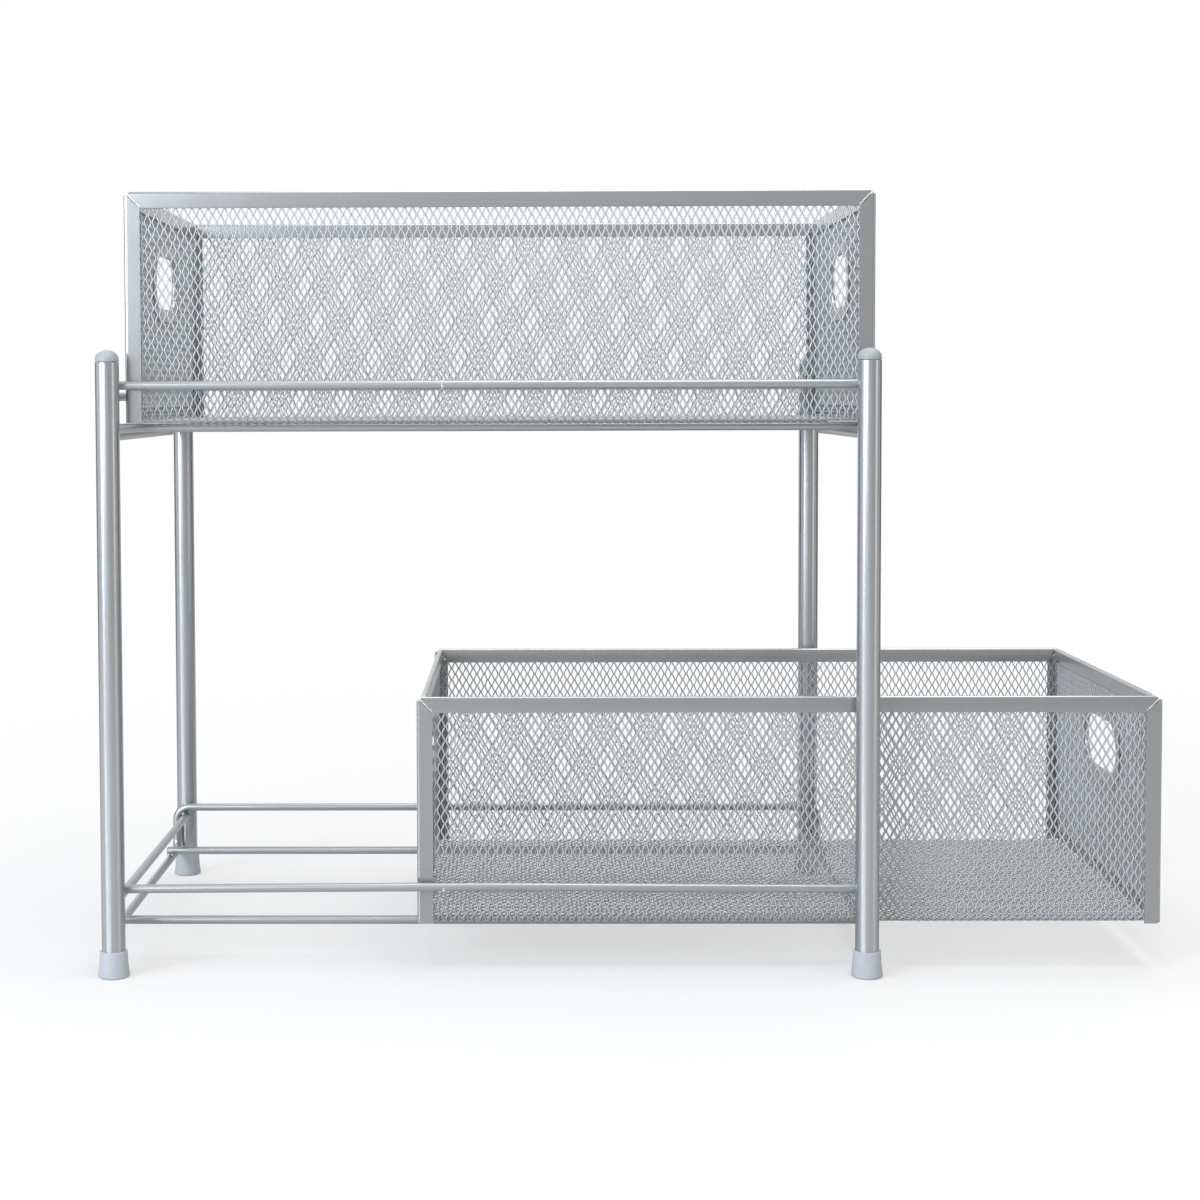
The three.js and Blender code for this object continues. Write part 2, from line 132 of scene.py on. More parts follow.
# %% [markdown]
# ## A white studio
# The object stands on a white acrylic sheet in soft light. Metal has almost no colour of its own and
# shows the room instead, so the room matters more here than on a painted toy. The eye sees white all
# round. The metal sees the same white above and behind it, dimmer behind at the right, and a room in
# front, where the photographer stands, that is lighter at its left than at its right. The light that
# falls on the object is kept lower, so that greys stay grey. To the metal the sheet is glossy and
# throws the lamps' light up. To the eye it is matt, so it holds a faint shadow and no second picture
# of the object. Soft boxes at the left, in front and at the right draw bright lines down each tube,
# and a wide one overhead draws them along the wires and folds. Two dark cards behind, out of the
# camera's sight, keep the tubes' edges from melting into the white, as on a real set.

# %% World
FILL_LIGHT = 0.68
LEFT_ROOM = 1.0
RIGHT_ROOM = 0.52
ROOM_TURN = 0.4
REAR_ROOM = 0.65
REAR_TURN = 0.3
FRONT_BEGINS = -0.1
FRONT_FULL = -0.75
WHITE = linear("#FFFFFF")

world = bpy.data.worlds.new("white_studio")
world.use_nodes = True
scene.world = world
room_tree = world.node_tree
room_tree.nodes.clear()
fill = add_node(room_tree, "ShaderNodeBackground", {"Color": WHITE, "Strength": FILL_LIGHT})
way = add_node(room_tree, "ShaderNodeTexCoord").outputs["Generated"]
turned_to = add_node(room_tree, "ShaderNodeSeparateXYZ", {0: way}).outputs
side = add_node(room_tree, "ShaderNodeMapRange",
                {"Value": turned_to["X"], "From Min": -ROOM_TURN, "From Max": ROOM_TURN,
                 "To Min": LEFT_ROOM, "To Max": RIGHT_ROOM})
in_front = add_node(room_tree, "ShaderNodeMapRange",
                    {"Value": turned_to["Y"], "From Min": FRONT_FULL, "From Max": FRONT_BEGINS,
                     "To Min": 1.0, "To Max": 0.0})
behind = add_node(room_tree, "ShaderNodeMapRange",
                  {"Value": turned_to["X"], "From Min": 0.0, "From Max": REAR_TURN,
                   "To Min": 1.0, "To Max": REAR_ROOM})
room = add_node(room_tree, "ShaderNodeMix", {0: in_front, 2: behind, 3: side})
ray = add_node(room_tree, "ShaderNodeLightPath").outputs
level = add_node(room_tree, "ShaderNodeMath", {0: ray["Is Camera Ray"], 1: room}, operation="MAXIMUM")
seen = add_node(room_tree, "ShaderNodeBackground", {"Color": WHITE, "Strength": level})
seen_straight = add_node(room_tree, "ShaderNodeMath", {0: ray["Is Camera Ray"], 1: ray["Is Glossy Ray"]},
                         operation="MAXIMUM")
studio = add_node(room_tree, "ShaderNodeMixShader", {0: seen_straight, 1: fill, 2: seen})
add_node(room_tree, "ShaderNodeOutputWorld", {"Surface": studio})
print("nodes in the world:", len(room_tree.nodes))

# %% Floor
NEAR_GLOW = 0.45
FAR_GLOW = 0.75
GLOW_FROM = 0.4
GLOW_TO = 2.0
FLOOR_ROUGHNESS = 0.12
FLOOR_REACH = 6.0


def new_material(name):
    material = bpy.data.materials.new(name)
    material.use_nodes = True
    material.node_tree.nodes.clear()
    return material, material.node_tree


acrylic, floor_tree = new_material("white_acrylic")
spot = add_node(floor_tree, "ShaderNodeTexCoord").outputs["Object"]
away = add_node(floor_tree, "ShaderNodeVectorMath", {0: spot}, operation="LENGTH")
glow = add_node(floor_tree, "ShaderNodeMapRange",
                {"Value": away.outputs["Value"], "From Min": GLOW_FROM, "From Max": GLOW_TO,
                 "To Min": NEAR_GLOW, "To Max": FAR_GLOW})
matt = add_node(floor_tree, "ShaderNodeBsdfDiffuse", {"Color": linear("#A8A8A8")})
lit = add_node(floor_tree, "ShaderNodeEmission", {"Strength": glow})
to_eye = add_node(floor_tree, "ShaderNodeAddShader", {0: matt, 1: lit})
to_metal = add_node(floor_tree, "ShaderNodeBsdfPrincipled",
                    {"Base Color": linear("#D4D4D4"), "Roughness": FLOOR_ROUGHNESS})
by_camera = add_node(floor_tree, "ShaderNodeLightPath").outputs["Is Camera Ray"]
both = add_node(floor_tree, "ShaderNodeMixShader", {0: by_camera, 1: to_metal, 2: to_eye})
add_node(floor_tree, "ShaderNodeOutputMaterial", {"Surface": both})


def mesh_piece(name, points, faces, material, crease=35):
    mesh = bpy.data.meshes.new(name)
    mesh.from_pydata(points, [], faces)
    mesh.materials.append(material)
    mesh.shade_smooth()
    mesh.set_sharp_from_angle(angle=math.radians(crease))
    piece = bpy.data.objects.new(name, mesh)
    scene.collection.objects.link(piece)
    return piece


def flat_sheet(name, width, height, material):
    across, up = width / 2, height / 2
    corners = [(-across, -up, 0), (across, -up, 0), (across, up, 0), (-across, up, 0)]
    return mesh_piece(name, corners, [(0, 1, 2, 3)], material)


floor = flat_sheet("acrylic_floor", 2 * FLOOR_REACH, 2 * FLOOR_REACH, acrylic)
print("floor reaches", FLOOR_REACH, "m each way")

# %% Soft boxes and dark cards
AIM = Vector((0, 0, 0.18))
FELT_ROUGHNESS = 0.95


def facing(place):
    return (AIM - Vector(place)).to_track_quat("-Z", "Y").to_matrix().to_4x4()


def softbox(name, place, width, height, watts, tint):
    lamp = bpy.data.objects.new(name, bpy.data.lights.new(name, "AREA"))
    lamp.data.shape = "RECTANGLE"
    lamp.data.size = width
    lamp.data.size_y = height
    lamp.data.energy = watts
    lamp.data.color = linear(tint)[:3]
    lamp.matrix_world = Matrix.Translation(place) @ facing(place)
    scene.collection.objects.link(lamp)


def dark_card(name, place, width, height):
    card = flat_sheet(name, width, height, black_felt)
    card.matrix_world = Matrix.Translation(place) @ facing(place)
    card.visible_camera = False
    card.visible_diffuse = False
    card.visible_shadow = False


black_felt, felt_tree = new_material("black_felt")
felt = add_node(felt_tree, "ShaderNodeBsdfPrincipled",
                {"Base Color": linear("#26282A"), "Roughness": FELT_ROUGHNESS})
add_node(felt_tree, "ShaderNodeOutputMaterial", {"Surface": felt})

softbox("key_softbox", (-1.25, -0.95, 0.7), width=0.45, height=1.3, watts=8.5, tint="#EAF4FF")
softbox("wash_softbox", (-1.0, -1.5, 0.75), width=0.9, height=0.9, watts=15.0, tint="#EAF4FF")
softbox("top_softbox", (0.15, 0.0, 1.6), width=1.5, height=1.0, watts=17.0, tint="#FFFFFF")
softbox("side_softbox", (1.4, -0.8, 0.6), width=0.35, height=1.2, watts=2.2, tint="#FFF5E8")
dark_card("left_card", (-1.3, 0.75, 0.4), width=0.7, height=1.6)
dark_card("right_card", (1.3, 0.75, 0.4), width=0.7, height=1.6)

# %% [markdown]
# ## Silver lacquer on steel
# Tube, wire, sheet and mesh all carry the same stoved silver lacquer: fine aluminium flake in a clear
# binder, sprayed over steel. It gives the eye a soft metal sheen rather than a mirror, a faint sparkle
# where flakes turn, and long ripples called orange peel. A plain grey metal would look like bare
# machined steel, so the flake varies the colour, the peel bends the surface by a few thousandths of a
# millimetre, and handling marks vary the roughness over some centimetres. Real flakes are finer than
# a tenth of a millimetre; they are drawn coarser here so that they show at all. One function serves
# every finish: it takes noise of three sizes, for the colour, the roughness and the relief.

# %% Lacquered steel
FLAKE = 0.4 * MM
PEEL = 1.6 * MM
PEEL_DEPTH = 0.003 * MM
HANDLING = 28 * MM
HANDLING_SPREAD = 0.06
COAT = 0.2
COAT_ROUGHNESS = 0.3


def grained(name, shade, light, roughness, spread, relief, grains, sockets):
    material, tree = new_material(name)
    place = add_node(tree, "ShaderNodeTexCoord").outputs["Object"]
    for_colour, for_roughness, for_relief = [
        add_node(tree, "ShaderNodeTexNoise", {"Vector": place, "Scale": 1 / size, "Detail": detail})
        for size, detail in grains]
    tint = add_node(tree, "ShaderNodeMix", {0: for_colour, 6: linear(shade), 7: linear(light)},
                    data_type="RGBA")
    dulled = add_node(tree, "ShaderNodeMapRange", {"Value": for_roughness, "To Min": roughness - spread,
                                                   "To Max": roughness + spread})
    raised = add_node(tree, "ShaderNodeBump", {"Height": for_relief, "Distance": relief})
    surface = add_node(tree, "ShaderNodeBsdfPrincipled",
                       {"Base Color": tint.outputs[2], "Roughness": dulled, "Normal": raised, **sockets})
    add_node(tree, "ShaderNodeOutputMaterial", {"Surface": surface})
    return material


def lacquered_steel(name, shade, sparkle, roughness, metal):
    grains = [(FLAKE, 2.0), (HANDLING, 3.0), (PEEL, 1.0)]
    return grained(name, shade, sparkle, roughness, HANDLING_SPREAD, PEEL_DEPTH, grains,
                   {"Metallic": metal, "Coat Weight": COAT, "Coat Roughness": COAT_ROUGHNESS})


tube_lacquer = lacquered_steel("lacquered_steel_tube", "#A3A6A8", "#B6B9BB", roughness=0.24, metal=0.8)
wire_lacquer = lacquered_steel("lacquered_steel_wire", "#9B9E9F", "#ACAFB0", roughness=0.36, metal=0.8)
sheet_lacquer = lacquered_steel("lacquered_sheet_steel", "#97999A", "#A9ABAC", roughness=0.22,
                                metal=0.75)
mesh_lacquer = lacquered_steel("lacquered_expanded_steel", "#B0B3B5", "#C8CBCD", roughness=0.42,
                               metal=0.5)
weld_lacquer = lacquered_steel("lacquered_weld_metal", "#AEB1B2", "#C4C7C8", roughness=0.36, metal=0.8)
# The seam beads are coloured much paler than the lacquer: a painted highlight, so that each mitre shows a
# glinting line.
seam_weld_painted_glint = lacquered_steel("lacquered_ground_weld", "#D2D5D6", "#E8EAEB", roughness=0.32, metal=0.7)
print("lacquers:", [m.name for m in bpy.data.materials if m.name.startswith("lacquered")])

# %% [markdown]
# ## Moulded plastic
# The caps on the legs and the feet under them are small injection mouldings. The caps are a hard
# polyethylene, pale and slightly green, with a dull gloss. The feet are a softer vinyl, paler and
# bluish, which lets a little light in. Both have the fine grain of a spark-eroded mould, a tenth to
# a third of a millimetre across, and the slow cloudiness of pigment that didn't mix fully.

# %% Moulded plastic
MOULD_GRAIN = 0.3 * MM
MOULD_DEPTH = 0.01 * MM
PIGMENT_CLOUD = 6 * MM
GRAIN_SPREAD = 0.08
LIGHT_REACH = 1.5 * MM


def moulded_plastic(name, shade, light, roughness, translucency):
    grains = [(PIGMENT_CLOUD, 3.0), (MOULD_GRAIN, 2.0), (MOULD_GRAIN, 2.0)]
    return grained(name, shade, light, roughness, GRAIN_SPREAD, MOULD_DEPTH, grains,
                   {"Subsurface Weight": translucency, "Subsurface Scale": LIGHT_REACH})


cap_polyethylene = moulded_plastic("moulded_polyethylene_cap", "#929A9A", "#A2A9A9", roughness=0.42,
                                   translucency=0.0)
foot_vinyl = moulded_plastic("moulded_vinyl_foot", "#A8ADB3", "#BABFC3", roughness=0.5,
                             translucency=0.25)
print("plastics:", cap_polyethylene.name, foot_vinyl.name)

# %% [markdown]
# ## Turned pieces: legs, feet and caps
# A leg is a length of 12 mm tube with a moulded foot pushed over its lower end and a domed cap
# pushed into its upper end. All three are round about one axis, so each is a profile turned about it,
# as on a lathe. A ready-made cylinder would have no wall, no eased edge and no dome. The profile goes
# up the outside and comes back down the inside, which makes every face point out.

# %% Turning a profile
AROUND = 64


def arc(centre, radius, start, end, steps):
    angles = [math.radians(start + (end - start) * i / steps) for i in range(steps + 1)]
    return [(centre[0] + radius * math.cos(a), centre[1] + radius * math.sin(a)) for a in angles]


def turned(name, profile, axis, material, ring_shaped=False):
    points = []
    rings = []
    for radius, height in profile:
        spots = AROUND if radius > 0 else 1
        rings.append([len(points) + (k % spots) for k in range(AROUND + 1)])
        turns = [2 * math.pi * k / AROUND for k in range(spots)]
        points += [(axis.x + radius * math.cos(t), axis.y + radius * math.sin(t), height) for t in turns]
    if ring_shaped:
        rings.append(rings[0])
    faces = []
    for low, high in zip(rings, rings[1:]):
        for k in range(AROUND):
            corners = [low[k], low[k + 1], high[k + 1], high[k]]
            faces.append(tuple(dict.fromkeys(corners)))
    return mesh_piece(name, points, faces, material)


def stand_for(piece, body, slot, *nodes):
    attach(piece, body)
    if nodes:
        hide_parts(*nodes)
    return piece


print("points round a turned piece:", AROUND)

# %% Legs, feet and caps
TUBE_WALL = 1.0 * MM
TUBE_EASE = 0.25 * MM
FOOT_LIP = 1.0 * MM
FOOT_FLARE = 1.0 * MM
FOOT_WAIST = 0.7
FOOT_FLOOR = 2.7 * MM
FOOT_ROUND = 1.1 * MM
LIP_ROUND = 0.45 * MM
CAP_BAND = 1.2 * MM
CAP_EASE = 0.3 * MM
SEAT_GAP = 0.12 * MM

tube_radius = tube_size.x / 2


def leg_tube(corner):
    node = "leg_" + corner
    low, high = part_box(node)
    bore = tube_radius - TUBE_WALL
    profile = [(bore, low.z), (tube_radius - TUBE_EASE, low.z), (tube_radius, low.z + TUBE_EASE),
               (tube_radius, high.z - TUBE_EASE), (tube_radius - TUBE_EASE, high.z), (bore, high.z)]
    piece = turned(node + "_tube", profile, (low + high) / 2, tube_lacquer, ring_shaped=True)
    return stand_for(piece, "frame", "frame_steel", node)


def leg_foot(corner):
    node = "foot_" + corner
    low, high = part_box(node)
    base = (high.x - low.x) / 2
    top = base - FOOT_FLARE
    socket = top - FOOT_LIP
    waist = (base - FOOT_FLARE * FOOT_WAIST, (low.z + high.z) / 2)
    profile = [(0, low.z)]
    profile += arc((base - FOOT_ROUND, low.z + FOOT_ROUND), FOOT_ROUND, -90, 0, steps=5)
    profile += [waist]
    profile += arc((top - LIP_ROUND, high.z - LIP_ROUND), LIP_ROUND, 0, 90, steps=4)
    profile += [(socket, high.z), (socket, low.z + FOOT_FLOOR), (0, low.z + FOOT_FLOOR)]
    piece = turned(node + "_moulding", profile, (low + high) / 2, foot_vinyl)
    return stand_for(piece, "frame", "foot_plastic", node)


def leg_cap(corner):
    node = "cap_" + corner
    low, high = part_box(node)
    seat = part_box("leg_" + corner)[1].z + SEAT_GAP
    stem = tube_radius - TUBE_WALL - SEAT_GAP
    spring = seat + CAP_BAND
    profile = [(0, low.z), (stem, low.z), (stem, seat), (tube_radius - CAP_EASE, seat),
               (tube_radius, seat + CAP_EASE)]
    dome = arc((0, 0), 1.0, 0, 90, steps=14)
    profile += [(tube_radius * x, spring + (high.z - spring) * z) for x, z in dome[:-1]]
    profile += [(0, high.z)]
    piece = turned(node + "_moulding", profile, (low + high) / 2, cap_polyethylene)
    return stand_for(piece, "frame", "cap_plastic", node)


CORNERS = ["front_left", "front_right", "rear_left", "rear_right"]
for corner in CORNERS:
    print(leg_tube(corner).name, leg_foot(corner).name, leg_cap(corner).name)

# %% [markdown]
# ## Bent wire
# Each tier is one closed loop of 4.5 mm wire: guards along the front and the back, which drop at both
# ends into low side bars. Two straight rails lie across the side bars and a stop wire closes the left
# end. A curve object with a bevel could draw them, but here all the wires follow one rule, a round
# section along a route with round bends, so a small Geometry Nodes tree is the better tool: the route
# is a bare line of edges, and the tree fillets its corners and sweeps the section along it. The lower
# front guard is sprung up by about a millimetre at its middle, as wire is on a frame in use.

# %% Running a Geometry Nodes tree
def new_tree(name, sockets):
    tree = bpy.data.node_groups.new(name, "GeometryNodeTree")
    tree.is_modifier = True
    tree.interface.new_socket("Guide", in_out="INPUT", socket_type="NodeSocketGeometry")
    for socket_name, kind in sockets.items():
        tree.interface.new_socket(socket_name, in_out="INPUT", socket_type="NodeSocket" + kind)
    tree.interface.new_socket("Material", in_out="INPUT", socket_type="NodeSocketMaterial")
    tree.interface.new_socket("Piece", in_out="OUTPUT", socket_type="NodeSocketGeometry")
    return tree, add_node(tree, "NodeGroupInput").outputs


def end_tree(tree, made, given):
    real = add_node(tree, "GeometryNodeRealizeInstances", {"Geometry": made})
    painted = add_node(tree, "GeometryNodeSetMaterial",
                       {"Geometry": real, "Material": given["Material"]})
    add_node(tree, "NodeGroupOutput", {"Piece": painted})


def grown(name, tree, points, edges, crease, **settings):
    guide = bpy.data.meshes.new(name + "_guide")
    guide.from_pydata(points, edges, [])
    piece = bpy.data.objects.new(name, guide)
    modifier = piece.modifiers.new(tree.name, "NODES")
    modifier.node_group = tree
    for item in tree.interface.items_tree:
        key = item.name.replace(" ", "_").lower()
        if key in settings:
            modifier[item.identifier] = settings[key]
    scene.collection.objects.link(piece)
    settled = piece.evaluated_get(bpy.context.evaluated_depsgraph_get())
    mesh = bpy.data.meshes.new_from_object(settled)
    piece.modifiers.remove(modifier)
    piece.data = mesh
    mesh.name = name
    mesh.set_sharp_from_angle(angle=math.radians(crease))
    bpy.data.meshes.remove(guide)
    return piece


print("Geometry Nodes trees so far:", len(bpy.data.node_groups))

# %% The wire tree
WIRE_SIDES = 24
BEND_STEPS = 10

wire_tree, given = new_tree("bent_wire", {"Wire diameter": "Float", "Bend radius": "Float",
                                          "Cut end": "Float"})
route = add_node(wire_tree, "GeometryNodeMeshToCurve", {"Mesh": given["Guide"]})
bends = add_node(wire_tree, "GeometryNodeFilletCurve",
                 {"Curve": route, "Count": BEND_STEPS, "Radius": given["Bend radius"]}, mode="POLY")
half = add_node(wire_tree, "ShaderNodeMath", {0: given["Wire diameter"], 1: 0.5}, operation="MULTIPLY")
section = add_node(wire_tree, "GeometryNodeCurvePrimitiveCircle",
                   {"Resolution": WIRE_SIDES, "Radius": half})
ends = add_node(wire_tree, "GeometryNodeCurveEndpointSelection")
eased = add_node(wire_tree, "ShaderNodeMath", {0: ends, 1: given["Cut end"], 2: 1.0},
                 operation="MULTIPLY_ADD")
swept = add_node(wire_tree, "GeometryNodeCurveToMesh",
                 {"Curve": bends, "Profile Curve": section, "Scale": eased, "Fill Caps": True})
smooth = add_node(wire_tree, "GeometryNodeSetShadeSmooth", {"Geometry": swept})
end_tree(wire_tree, smooth, given)
print("wire tree inputs:", [s.name for s in given if s.name])

# %% Loops, rails and stops
BEND_RADIUS = 7.5 * MM
WELD_PROUD = 0.35 * MM
CUT_EASE = 0.5 * MM
CUT_SHRINK = -0.18
GUARD_SPRING = 1.2 * MM
GUARD_SPRING_AT = 0.5
TIERS = ["lower", "upper"]

wire_diameter = centre_and_size("lower_rail_front")[1].y
wire_radius = wire_diameter / 2


def wire(node, points, closed):
    edges = [(k, k + 1) for k in range(len(points) - 1)]
    if closed:
        edges.append((len(points) - 1, 0))
    piece = grown(node + "_wire", wire_tree, points, edges, crease=40, wire_diameter=wire_diameter,
                  bend_radius=BEND_RADIUS, cut_end=0.0 if closed else CUT_SHRINK, material=wire_lacquer)
    return stand_for(piece, "frame", "frame_steel", node)


def tier_measures(tier):
    low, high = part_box(tier + "_guard_loop")
    return {
        "left": low.x + wire_radius,
        "right": high.x - wire_radius,
        "guard_y": high.y - wire_radius,
        "bar_z": low.z + wire_radius,
        "guard_z": high.z - wire_radius - WELD_PROUD,
    }


def guard_loop(tier):
    m = tier_measures(tier)
    front, rear = -m["guard_y"], m["guard_y"]
    points = [(m["left"], front, m["guard_z"])]
    if tier == "lower":
        sprung_x = m["left"] + GUARD_SPRING_AT * (m["right"] - m["left"])
        points.append((sprung_x, front, m["guard_z"] + GUARD_SPRING))
    points += [
        (m["right"], front, m["guard_z"]), (m["right"], front, m["bar_z"]),
        (m["right"], rear, m["bar_z"]), (m["right"], rear, m["guard_z"]),
        (m["left"], rear, m["guard_z"]), (m["left"], rear, m["bar_z"]),
        (m["left"], front, m["bar_z"]),
    ]
    return wire(tier + "_guard_loop", points, closed=True)


def straight_wire(node):
    low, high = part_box(node)
    middle = (low + high) / 2
    along = Vector((1, 0, 0)) if high.x - low.x > high.y - low.y else Vector((0, 1, 0))
    reach = (high - low).dot(along) / 2
    points = [middle + along * d for d in (-reach, CUT_EASE - reach, reach - CUT_EASE, reach)]
    return wire(node, points, closed=False)


for tier in TIERS:
    made = [guard_loop(tier)]
    made += [straight_wire(tier + name) for name in ("_rail_front", "_rail_rear", "_back_stop")]
    print([(p.name, len(p.data.polygons)) for p in made])

# %% [markdown]
# ## Weld beads
# The wires are welded to each other and to the legs, and each loop's two ends are butt welded on the
# front guard. A weld leaves a small, uneven bead in the corner between two round bars. Modelled one
# by one they would all be alike, so one tree scatters a lumpy bead on every weld point: each is turned
# and scaled at random from a fixed seed, and noise dents its surface.

# %% The bead tree
BEAD_SUBDIVISIONS = 2
BEAD_SEED = 7
BEAD_LUMP = 1.2 * MM
SMALLEST_BEAD = (0.85, 0.85, 0.75)
LARGEST_BEAD = (1.2, 1.15, 1.0)

bead_tree, given = new_tree("weld_beads", {"Bead radius": "Float", "Bead dent": "Float"})
drop = add_node(bead_tree, "GeometryNodeMeshIcoSphere",
                {"Radius": given["Bead radius"], "Subdivisions": BEAD_SUBDIVISIONS})
spin = add_node(bead_tree, "FunctionNodeRandomValue",
                {0: (0, 0, 0), 1: (math.tau, math.tau, math.tau), "Seed": BEAD_SEED},
                data_type="FLOAT_VECTOR")
size = add_node(bead_tree, "FunctionNodeRandomValue",
                {0: SMALLEST_BEAD, 1: LARGEST_BEAD, "Seed": BEAD_SEED + 1}, data_type="FLOAT_VECTOR")
beads = add_node(bead_tree, "GeometryNodeInstanceOnPoints",
                 {"Points": given["Guide"], "Instance": drop, "Rotation": spin, "Scale": size})
single = add_node(bead_tree, "GeometryNodeRealizeInstances", {"Geometry": beads})
lumps = add_node(bead_tree, "ShaderNodeTexNoise", {"Scale": 1 / BEAD_LUMP, "Detail": 1.0})
depth = add_node(bead_tree, "ShaderNodeMath", {0: lumps, 1: 0.5}, operation="SUBTRACT")
dent = add_node(bead_tree, "ShaderNodeMath", {0: depth, 1: given["Bead dent"]}, operation="MULTIPLY")
outward = add_node(bead_tree, "GeometryNodeInputNormal")
push = add_node(bead_tree, "ShaderNodeVectorMath", {0: outward, "Scale": dent}, operation="SCALE")
dented = add_node(bead_tree, "GeometryNodeSetPosition", {"Geometry": single, "Offset": push})
smooth = add_node(bead_tree, "GeometryNodeSetShadeSmooth", {"Geometry": dented})
end_tree(bead_tree, smooth, given)
print("bead tree inputs:", [s.name for s in given if s.name])

# %% Welds of the frame
FRAME_BEAD = 1.35 * MM
FRAME_BEAD_DENT = 0.9 * MM
BEAD_SPREAD = 1.5 * MM
RAIL_BEAD_SPREAD = 1.0 * MM
BUTT_WELD_FROM_LEFT_LEG = 168 * MM
BUTT_BEADS = 7


def frame_weld_points(tier):
    m = tier_measures(tier)
    points = []
    rail = centre_and_size(tier + "_rail_rear")[0]
    stop = centre_and_size(tier + "_back_stop")[0]
    on_rail_z = (m["bar_z"] + rail.z) / 2
    diagonal = (wire_radius + SEAT_GAP) / math.sqrt(2)
    for front_or_rear in (-1, 1):
        beside_leg = front_or_rear * (m["guard_y"] + wire_radius)
        for leg_x in (left_leg.x, right_leg.x):
            points += [(leg_x, beside_leg, m["guard_z"] + s * BEAD_SPREAD) for s in (-1, 1)]
        for bar_x in (m["left"], m["right"]):
            points += [(bar_x + s * RAIL_BEAD_SPREAD, front_or_rear * rail.y, on_rail_z) for s in (-1, 1)]
        points.append((stop.x - diagonal, front_or_rear * m["guard_y"], stop.z + diagonal))
    butt_x = left_leg.x + BUTT_WELD_FROM_LEFT_LEG
    out = wire_radius - FRAME_BEAD + WELD_PROUD
    for k in range(BUTT_BEADS):
        turn = 2 * math.pi * k / BUTT_BEADS
        points.append((butt_x, out * math.cos(turn) - m["guard_y"], out * math.sin(turn) + m["guard_z"]))
    return points


weld_points = frame_weld_points("lower") + frame_weld_points("upper")
frame_welds = grown("frame_weld_beads", bead_tree, weld_points, [], crease=60, bead_radius=FRAME_BEAD,
                    bead_dent=FRAME_BEAD_DENT, material=weld_lacquer)
stand_for(frame_welds, "frame", "frame_steel")
print("frame welds:", len(weld_points), "faces:", len(frame_welds.data.polygons))

# %% [markdown]
# ## Basket rims
# Each basket's top edge is bound by four strips of 0.8 mm sheet, folded over the mesh into a narrow U.
# The fold leaves a small round along both top edges, which catches the light as a bright line. The
# strips are mitred twice, to each other and to the corner posts below them, and the sharp tip of the
# corner is clipped off. The end walls are sprung in a little at the top, so their strips stand behind
# the corner posts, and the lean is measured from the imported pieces. A bevelled box could suggest
# this, but it would be closed underneath and square at its ends. So the U is drawn as a section, and
# each point of the section runs as far along the wall as the mitres and the clip let it.

# %% Basket measures
SHEET = 0.8 * MM
MITRE_GAP = 0.2 * MM
CLIP_LENGTH = 3.2 * MM
CLIP_DROP = 2.9 * MM
FACES = ["front", "right", "rear", "left"]
LONG_FACES = ["front", "rear"]


def basket_box(tier):
    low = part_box(tier + "_post_front_left")[0]
    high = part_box(tier + "_post_rear_right")[1]
    high.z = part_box(tier + "_rim_front")[1].z
    return low, high


basket_low, basket_high = basket_box("lower")
basket_height = basket_high.z - basket_low.z
rim_size = centre_and_size("lower_rim_front")[1]
rim_thickness = rim_size.y
rim_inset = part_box("lower_rim_left")[0].x - basket_low.x
end_lean = math.asin(rim_inset / (basket_height - rim_size.z))
end_spring = basket_height * math.sin(end_lean)


def wall_place(tier, face):
    low, high = basket_box(tier)
    middle = (low + high) / 2
    spots = {
        "front": (middle.x, low.y, 0),
        "right": (high.x, middle.y, 90),
        "rear": (middle.x, high.y, 180),
        "left": (low.x, middle.y, 270),
    }
    x, y, turn = spots[face]
    lean = 0.0 if face in LONG_FACES else -end_lean
    upright = Matrix.Translation((x, y, low.z)) @ Matrix.Rotation(math.radians(turn), 4, "Z")
    return upright @ Matrix.Rotation(lean, 4, "X")


def rim_length(tier, face):
    low, high = basket_box(tier)
    return high.x - low.x if face in LONG_FACES else high.y - low.y - 2 * end_spring


print("basket in mm:", in_mm(basket_high - basket_low), "rim in mm:", in_mm(rim_size))
print("end walls spring in by mm:", round(end_spring / MM, 2))

# %% Rim strips
RIM_FOLD = 1.45 * MM


def folded_faces(loop):
    count = len(loop)
    faces = [(k, (k + 1) % count, (k + 1) % count + count, k + count) for k in range(count)]
    for k in range(count // 2 - 1):
        cap = (k, count - 1 - k, count - 2 - k, k + 1)
        faces += [cap, tuple(c + count for c in reversed(cap))]
    return faces


def rim_line(inset):
    bottom = basket_height - rim_size.z
    radius = RIM_FOLD - inset
    bend_z = basket_height - RIM_FOLD
    over_outside = arc((RIM_FOLD, bend_z), radius, 180, 90, steps=5)
    over_inside = arc((rim_thickness - RIM_FOLD, bend_z), radius, 90, 0, steps=5)
    return [(inset, bottom)] + over_outside + over_inside + [(rim_thickness - inset, bottom)]


def rim_reach(length, depth, height):
    below_top = basket_height - height
    clipped = CLIP_LENGTH * (1 - below_top / CLIP_DROP)
    return length / 2 - max(depth, below_top, clipped) - MITRE_GAP


def rim_strip(tier, face):
    node = f"{tier}_rim_{face}"
    place = wall_place(tier, face)
    length = rim_length(tier, face)
    loop = rim_line(0) + rim_line(SHEET)[::-1]
    points = []
    for side in (1, -1):
        points += [place @ Vector((side * rim_reach(length, y, z), y, z)) for y, z in loop]
    piece = mesh_piece(node + "_fold", points, folded_faces(loop), sheet_lacquer)
    return stand_for(piece, tier + "_basket", "basket_sheet", node)


for tier in TIERS:
    print([rim_strip(tier, face).name for face in FACES])

# %% [markdown]
# ## Corner posts
# An angle strip of the same sheet stands at each corner, outside the mesh, and ties the walls together.
# Its top is cut to meet the mitred rims and its lower tip is rounded off so that it doesn't catch. The
# section here is the plan of the angle, and each of its points stands as tall as the cuts allow.

